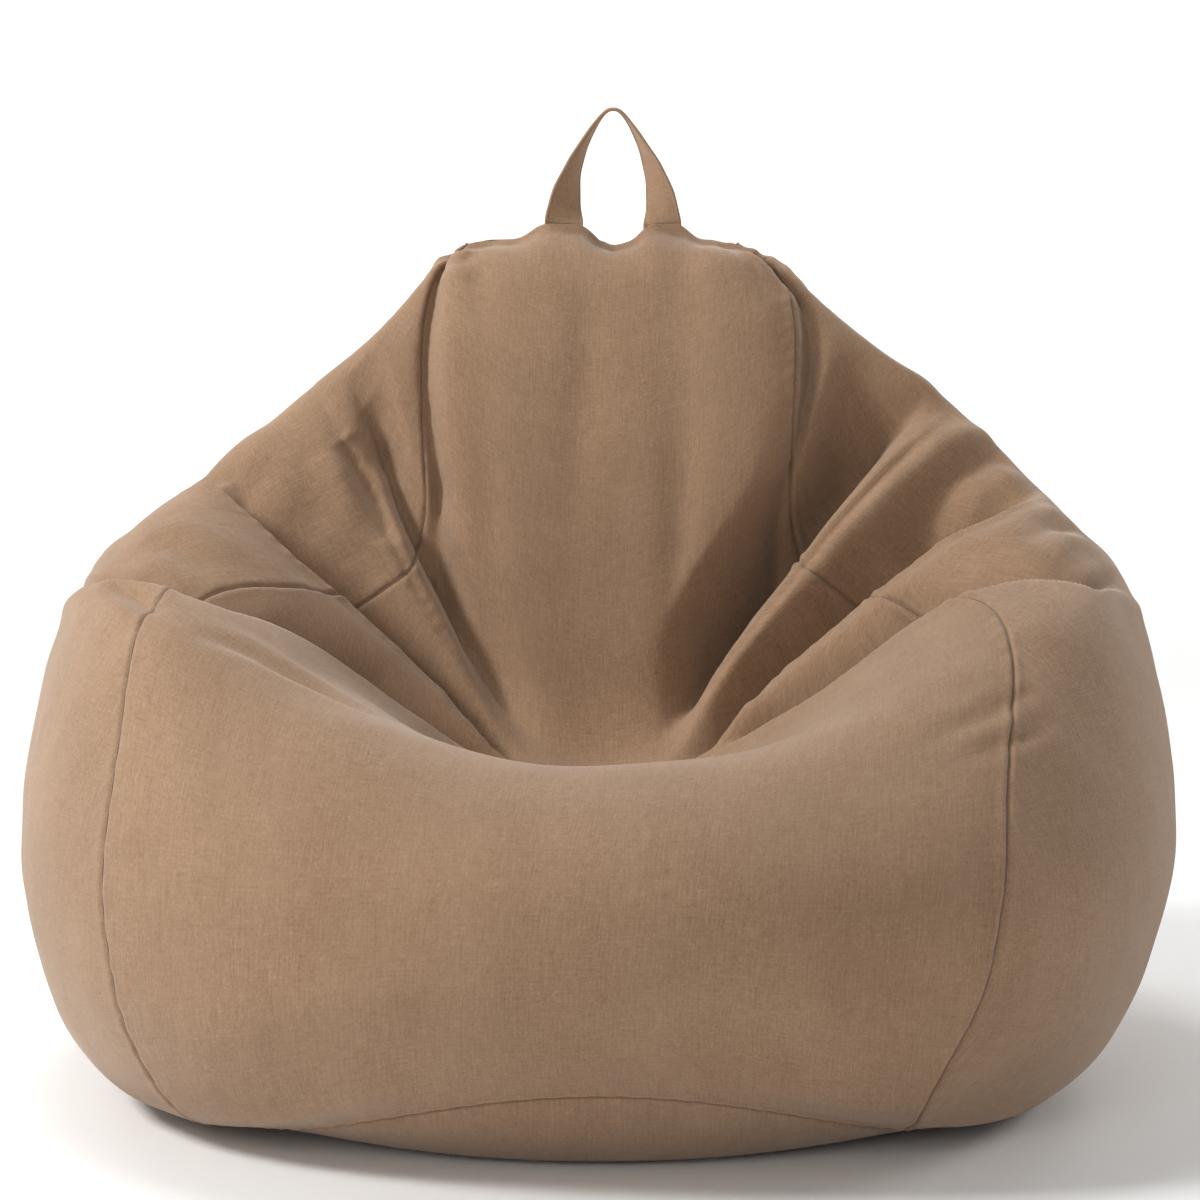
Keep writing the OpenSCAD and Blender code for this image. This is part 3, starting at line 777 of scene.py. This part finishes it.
def keptInside(grid, depth, rounds=3):
    # moves every point that is nearer the cover than depth, or outside it, straight inwards
    for _ in range(rounds):
        flat = grid.reshape(-1, 3)
        for i in range(len(flat)):
            at, normal, face, away = coverTree.find_nearest(Vector(flat[i]))
            out = (Vector(flat[i]) - at).dot(normal)
            if out > -depth:
                flat[i] = at - normal * depth
        grid = flat.reshape(grid.shape)
        around = np.hstack([grid[:, -1:], grid, grid[:, :1]])
        grid = 0.5 * grid + 0.25 * (around[:, :-2] + around[:, 2:])
    return grid


mouth = {
    "length": 0.48 * cover["topWidth"],
    "width": 0.010,
    "y": float(ringAt(topRing - 2)[1] + backAt(topRing - 2)[0]) / 2 + 0.018,
    "z": float(backAt(topRing - 2)[1]) + 0.003,
}


def insideShape(depth, top):
    angles = np.linspace(-180, 180, inner["columns"], endpoint=False)
    heights = np.linspace(0, top, int(top * inner["rowsPerRing"]) + 1)
    u, v = np.meshgrid(angles, heights)
    p = skinPoint(u, v)
    n = gridNormals(np.hstack([p[:, -1:], p, p[:, :1]]))[:, 1:-1]
    lift = lowest(coverLift(u, v, p), 4) - depth
    wall = keptInside(p + n * lift[..., None], depth)
    wall[..., 2] = np.maximum(wall[..., 2], depth)
    shares = np.linspace(0.98, 0.03, 14)[:, None, None]
    centre = np.array([0.0, baseMiddle[1], 0.0])
    under = centre + (wall[:1] - centre) * shares
    lifts = np.clip((shares - baseFlat) / (1 - baseFlat), 0, 1) ** 2
    under[..., 2] = depth + (wall[:1, :, 2] - depth) * lifts[..., 0]
    rows = [under[::-1], wall]
    if top > topRing - 2.2:
        # the inner bag gathers in to its mouth
        a = np.radians(angles)
        end = np.stack([mouth["length"] / 2 * np.sin(a), mouth["y"] - mouth["width"] / 2 * np.cos(a),
                        np.full_like(a, mouth["z"])], -1)
        shares = np.linspace(0, 1, 9)[1:, None, None]
        pleats = 0.0016 * np.sin(shares * math.pi) * np.cos(a * 26)[None, :, None]
        gather = wall[-1:] + (end[None] - wall[-1:]) * shares
        gather[..., 2:] = gather[..., 2:] - 0.010 * np.sin(shares * math.pi) + pleats
        rows.append(gather)
    return np.vstack(rows)


def closedSkin(name, points, capped, uv=None):
    thing = makeMesh(name, points, uv, closed=True)
    mesh = thing.data
    b = bmesh.new()
    b.from_mesh(mesh)
    b.verts.ensure_lookup_table()
    cols = points.shape[1]
    ends = [(0, True)] + ([(points.shape[0] - 1, False)] if capped else [])
    rings = [(row, turned, [b.verts[row * cols + j] for j in range(cols)]) for row, turned in ends]
    for row, turned, ring in rings:
        middle = b.verts.new(points[row].mean(0))
        for j in range(cols):
            three = [ring[j], ring[(j + 1) % cols], middle]
            b.faces.new(three[::-1] if turned else three).smooth = True
    b.normal_update()
    b.to_mesh(mesh)
    b.free()
    return thing


liner = closedSkin("inner_bag", insideShape(inner["linerDepth"], topRing - 2.0), False)
thicken(finished(liner, linerCloth, "cover", "inner_liner"), inner["cloth"])
beads = closedSkin("bead_mass", insideShape(inner["fillDepth"], topRing - 2.4), True)
finished(beads, beadFinish("foamBeads"), "cover", "bead_fill")
print("inner bag and beads made")


# Tubes: threads, coils and the strap are loops of points along a path

def unitRows(w):
    return w / np.maximum(np.linalg.norm(w, axis=-1, keepdims=True), 1e-12)


def evenly(path, step):
    # the same path with points at even distances, and the distance of each
    lengths = np.concatenate([[0], np.cumsum(np.linalg.norm(np.diff(path, axis=0), axis=1))])
    at = np.linspace(0, lengths[-1], max(int(lengths[-1] / step), 4))
    return np.stack([np.interp(at, lengths, path[:, i]) for i in range(path.shape[1])], -1), at


def tubeLoops(path, outs, radius, sides):
    along = unitRows(np.gradient(path, axis=0))
    side = unitRows(np.cross(along, outs))
    out = np.cross(side, along)
    turn = np.linspace(0, 2 * math.pi, sides, endpoint=False)
    return path[:, None] + radius * (side[:, None] * np.cos(turn)[None, :, None] +
                                     out[:, None] * np.sin(turn)[None, :, None])


stitch = {"length": 0.0042, "radius": 0.00048, "rise": 0.00042, "depth": 0.0013, "step": 0.0008}


def stitchedThread(name, path, outs, node):
    # a thread that goes in and out of the cloth, once in each stitch
    both, at = evenly(np.hstack([path, outs]), stitch["step"])
    path, outs = both[:, :3], unitRows(both[:, 3:])
    wave = np.abs(np.sin(at / stitch["length"] * math.pi)) ** 0.6
    path = path + outs * (-stitch["depth"] + stitch["rise"] * (wave - 0.4))[:, None]
    thread = closedSkin(name, tubeLoops(path, outs, stitch["radius"], 6), True)
    finished(thread, seamThread, "cover", node)


sheetNormals = gridNormals(sheet)
seamColumns = np.cumsum([c.shape[1] - 1 for c in columns])
onWall = rowV < topRing - 0.6
seamNames = ["rear_left", "front_left", "front_right", "rear_right"]
for name, column in zip(seamNames, seamColumns[:4]):
    stitchedThread(name + "_stitches", sheet[onWall, column], sheetNormals[onWall, column], name + "_thread")
aboveZip = (rowV > zipOpen["to"] + 0.34) & onWall
middleOuts = unitRows(sheetNormals[aboveZip, 0] + sheetNormals[aboveZip, -1])
stitchedThread("rear_centre_stitches", (sheet[aboveZip, 0] + sheet[aboveZip, -1]) / 2, middleOuts,
               "rear_centre_thread")
stitchedThread("base_stitches", sheet[0], unitRows(sheetNormals[0] - np.array([0, 0, 0.6])), "base_thread")
print("threads made")

strap = {
    "width": 0.035, "thickness": 0.0032, "height": 0.108, "x": 0.012, "span": 0.090, "sections": 220,
    "edge": 0.0032, "tail": 0.0145, "twist": 0.72, "narrowing": 0.0105,
}
strapFoot = cover["backHeight"] + 0.0006 + strap["thickness"] / 2


def strapMiddle(a):
    s = np.sin(a)
    lean = np.sign(np.cos(a)) * np.abs(np.cos(a)) ** 0.8
    x = strap["x"] - strap["span"] / 2 * lean * (1 - 0.48 * s * s)
    top = cover["backHeight"] + strap["height"] - strap["thickness"] / 2
    return np.stack([x, np.full_like(a, cover["ridgeY"]), strapFoot + (top - strapFoot) * s], -1)


def strapSection(halfWidth):
    # flat band with folded edges and a pressed line beside each edge, as (across, thick) pairs
    across = np.concatenate([np.linspace(-1, -0.93, 4), np.linspace(-0.9, 0.9, 33), np.linspace(0.93, 1, 4)])
    fromEdge = (1 - np.abs(across)) * halfWidth
    face = np.sqrt(np.clip(1 - (1 - np.clip(fromEdge / 0.0014, 0, 1)) ** 2, 0, 1))
    pressed = 0.26 * np.exp(-((fromEdge - strap["edge"]) / 0.0008) ** 2)
    padded = 0.10 * np.exp(-((fromEdge - strap["edge"] * 0.5) / 0.0012) ** 2)
    thick = face * (0.86 + padded - pressed) * strap["thickness"] / 2
    top = np.stack([across * halfWidth, thick], -1)
    under = np.stack([across[::-1][1:-1] * halfWidth, -thick[::-1][1:-1]], -1)
    return np.vstack([top, under])


def strapFrames(a):
    middle = strapMiddle(a)
    along = unitRows(strapMiddle(a + 0.004) - strapMiddle(a - 0.004))
    twist = math.pi / 2 * np.sin(a) ** strap["twist"]
    flat = unitRows(np.stack([along[:, 2], np.zeros_like(a), -along[:, 0]], -1))
    wide = flat * np.cos(twist)[:, None] + np.array([0.0, 1.0, 0.0]) * np.sin(twist)[:, None]
    return middle, wide, unitRows(np.cross(along, wide))


def strapLoops():
    a = np.linspace(0, math.pi, strap["sections"])
    middle, wide, thin = strapFrames(a)
    run = np.concatenate([[0], np.cumsum(np.linalg.norm(np.diff(middle, axis=0), axis=1))])
    loops = []
    for j, half in enumerate(strap["width"] / 2 - strap["narrowing"] * np.sin(a) ** 1.2):
        half = half + 0.0004 * math.sin(run[j] / 0.013) + 0.0003 * math.sin(run[j] / 0.0047 + 1)
        pairs = strapSection(half)
        cup = 0.0009 * (pairs[:, :1] / half) ** 2 * math.sin(run[j] / 0.031 + 0.6)
        loops.append(middle[j] + wide[j] * pairs[:, :1] + thin[j] * (pairs[:, 1:] + cup))
    return np.array(loops), run


def bandUv(loops, run):
    around = np.hstack([np.zeros((len(loops), 1)),
                        np.cumsum(np.linalg.norm(np.diff(loops, axis=1), axis=2), axis=1)])
    return np.stack([around, np.repeat(run[:, None], loops.shape[1], 1)], -1)


loops, run = strapLoops()
handleStrap = closedSkin("handle_strap", loops, True, bandUv(loops, run))
handleStrap.data.materials.append(strapClothPaintedLighter)
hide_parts("carry_handle")

# its two ends go down inside the top seam
pairs = strapSection(strap["width"] / 2)
for foot, name in ((0.0, "strap_tail_left"), (math.pi, "strap_tail_right")):
    heights = np.linspace(strapFoot + 0.0004, strapFoot - strap["tail"], 8)
    if foot:
        heights = heights[::-1]
    x = strapMiddle(np.array([foot]))[0][0]
    loops = np.array([[(x + q[0], cover["ridgeY"] + q[1] * 0.86, z) for q in pairs] for z in heights])
    tail = closedSkin(name, loops, True, bandUv(loops, heights))
    finished(tail, strapClothPaintedLighter, "cover", "handle_sewn_ends")

x = np.linspace(-0.104, 0.104, 120)
ridge = sheet[-1, seamColumns[1]:seamColumns[2]]
topEdge = np.interp(x, ridge[:, 0], ridge[:, 2])
low, high = topEdge - 0.013, topEdge - 0.0008
loops = np.stack([np.stack([x, np.full_like(x, cover["ridgeY"] + dy), z], -1)
                  for dy, z in ((-0.001, low), (-0.001, (low + high) / 2), (-0.0008, high), (0.0008, high),
                                (0.001, (low + high) / 2), (0.001, low))], 1)
finished(closedSkin("top_seam_strip", loops, True, bandUv(loops, x)), coverCloth, "cover", "top_seam_tape")
print("handle and top seam made")

# angles about the arc's axis, then sizes in metres
zipShape = {"low": -15.0, "high": 48.0, "tapeLow": -16.0, "tapeHigh": 51.4,
            "face": 0.0026, "coilDepth": 0.0014, "slot": 0.0006, "tape": 0.015, "tapeThickness": 0.0006,
            "pitch": 0.00155, "wire": 0.00034, "across": 0.00112, "deep": 0.00086}


def onBack(x, depth, degrees):
    # a point of the zip: sideways place, depth inside the cover's face, angle about the arc's axis
    a = np.radians(degrees)
    r = cover["arcRadius"] - depth
    return np.stack([x + 0 * r * a, arcY + r * np.cos(a), cover["arcZ"] + r * np.sin(a)], -1)


for name, side in (("left", -1), ("right", 1)):
    angles = np.linspace(zipShape["tapeLow"], zipShape["tapeHigh"], 260)
    inner0, inner1 = zipShape["slot"], zipShape["slot"] + zipShape["tape"]
    depths = (zipShape["face"], zipShape["face"] + zipShape["tapeThickness"])
    places = np.linspace(inner0, inner1, 9)
    ring = [(q, depths[0]) for q in places] + [(q, depths[1]) for q in places[::-1]]
    edge = 0.00025 * np.sin(np.radians(angles) * cover["arcRadius"] / 0.0021)
    loops = np.stack([onBack(side * (q + edge * (q > inner1 - 0.001)), d, angles) for q, d in ring], 1)
    if side < 0:
        loops = loops[:, ::-1]
    finished(closedSkin("zip_%s_band" % name, loops, True), zipTape, "cover", "zip_%s_tape" % name)
    length = math.radians(zipShape["high"] - zipShape["low"]) * cover["arcRadius"]
    turns = length / zipShape["pitch"]
    t = np.linspace(0, 1, int(turns * 12))
    phase = t * turns * 2 * math.pi
    middle = side * (zipShape["slot"] + zipShape["across"] + zipShape["wire"])
    path = onBack(middle + side * zipShape["across"] * np.cos(phase),
                  zipShape["coilDepth"] - zipShape["deep"] * np.sin(phase),
                  zipShape["low"] + t * (zipShape["high"] - zipShape["low"]))
    outs = np.stack([np.cos(phase) * 0 + 0.2, np.sin(phase) + 1.3, 0 * phase + 0.1], -1)
    finished(closedSkin("zip_%s_teeth" % name, tubeLoops(path, outs, zipShape["wire"], 5), True), coilThread,
             "cover", "zip_%s_coil" % name)

# the metal pieces keep their modelled shapes, with small rounded edges
metalEdges = {"weld": 0.00001, "bevel": 0.00022, "segments": 3}
for name in ("zip_slider", "zip_pull", "zip_bottom_stop", "zip_top_stop"):
    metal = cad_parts[name]
    metal.data.materials.clear()
    metal.data.materials.append(zipMetal)
    weld = metal.modifiers.new("weld", "WELD")
    weld.merge_threshold = metalEdges["weld"]
    bevel = metal.modifiers.new("edges", "BEVEL")
    bevel.width = metalEdges["bevel"]
    bevel.segments = metalEdges["segments"]
    bevel.limit_method = "ANGLE"

# the inner bag's own short zip, across its mouth
x = np.linspace(-mouth["length"] / 2 - 0.006, mouth["length"] / 2 + 0.006, 90)
halfTape = 0.011 * np.sqrt(np.clip(1 - (np.abs(x) / (x[-1] + 0.0005)) ** 14, 0.05, 1))
droop = 0.0006 * np.sin(x / 0.009)
loops = np.stack([np.stack([x, mouth["y"] + k * halfTape, mouth["z"] + dz + droop * abs(k)], -1)
                  for k, dz in ((-1, 0.0002), (-0.4, 0.0001), (0.4, 0.0001), (1, 0.0002), (1, 0.0009),
                                (0.4, 0.0010), (-0.4, 0.0010), (-1, 0.0009))], 1)
finished(closedSkin("inner_zip_tape", loops, True), linerCloth, "cover", "liner_zip")
for name, side in (("front", -1), ("rear", 1)):
    turns = mouth["length"] / 0.0018
    t = np.linspace(0, 1, int(turns * 10))
    phase = t * turns * 2 * math.pi
    path = np.stack([(t - 0.5) * mouth["length"], mouth["y"] + side * (0.0011 + 0.0009 * np.cos(phase)),
                     mouth["z"] + 0.0020 + 0.0007 * np.sin(phase)], -1)
    outs = np.stack([0 * phase + 0.1, 0 * phase + 0.2, np.sin(phase) + 1.3], -1)
    finished(closedSkin("inner_zip_%s_teeth" % name, tubeLoops(path, outs, 0.0003, 5), True), linerCloth,
             "cover", "liner_zip")
print("zips made")

# Camera, light, floor

shot = {"distance": 3.3, "elevation": 7.0, "target": (0.0, 0.0, 0.40), "lens": 113.7, "shift": 0.01}
elevation = math.radians(shot["elevation"])
cameraData = bpy.data.cameras.new("camera")
camera = bpy.data.objects.new("camera", cameraData)
scene.collection.objects.link(camera)
cameraData.lens = shot["lens"]
cameraData.sensor_width = 36.0
cameraData.shift_y = shot["shift"]
backward = Vector((0, -math.cos(elevation), math.sin(elevation)))
camera.location = Vector(shot["target"]) + backward * shot["distance"]
camera.rotation_euler = backward.to_track_quat("Z", "Y").to_euler()
scene.camera = camera

# place, side length and power of each square lamp, and where it points if not at the bag
lights = {
    "key": ((-2.5, -0.85, 2.25), 0.7, 80.0),
    "top": ((-0.6, 0.4, 3.1), 0.9, 27.0),
    "rim": ((2.5, 0.9, 1.2), 0.8, 18.0),
    "front": ((-0.9, -3.4, 1.5), 1.6, 24.0),
    "sweepLeft": ((-3.6, 5.4, 4.4), 2.4, 190.0),
    "sweepRight": ((3.6, 5.4, 4.4), 2.4, 190.0),
}
aims = {"sweepLeft": (0.6, 8.4, 0.6), "sweepRight": (-0.6, 8.4, 0.6)}
for name, (place, size, power) in lights.items():
    data = bpy.data.lights.new(name, "AREA")
    data.energy = power
    data.size = size
    lamp = bpy.data.objects.new(name, data)
    scene.collection.objects.link(lamp)
    lamp.location = place
    aim = Vector(aims.get(name, (0, 0, 0.35)))
    lamp.rotation_euler = (Vector(place) - aim).to_track_quat("Z", "Y").to_euler()

world = bpy.data.worlds.new("studio")
scene.world = world
world.use_nodes = True
background = world.node_tree.nodes["Background"]
background.inputs[0].default_value = rgb(1.0, 1.0, 1.0)
background.inputs[1].default_value = 0.20
scene.view_settings.view_transform = "Standard"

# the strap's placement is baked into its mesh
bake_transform(handleStrap)

# the floor curves up into a round backdrop, so there is no horizon from any side
backdrop = {"flat": 7.0, "bend": 2.5, "top": 8.0, "sink": 0.0005, "sides": 96}
f = Finish("paleFloor")
grain = f.noise(f.node("ShaderNodeTexCoord", out=3), 30.0, 3.0, 0.6)
floorFinish = f.set(Base_Color=rgb(0.93, 0.93, 0.925), Roughness=0.78 + grain * 0.1)
profile = [(0.01, 0.0), (2.0, 0.0), (backdrop["flat"], 0.0)]
for degrees in range(6, 91, 6):
    a = math.radians(degrees)
    profile.append((backdrop["flat"] + backdrop["bend"] * math.sin(a),
                    backdrop["bend"] - backdrop["bend"] * math.cos(a)))
profile.append((backdrop["flat"] + backdrop["bend"], backdrop["top"]))
turn = np.linspace(0, 2 * math.pi, backdrop["sides"], endpoint=False)
points = np.array([[(r * math.cos(a), r * math.sin(a), z - backdrop["sink"]) for a in turn]
                   for r, z in profile])
floor = closedSkin("floor", points[:, ::-1], False)
floor.data.materials.append(floorFinish)
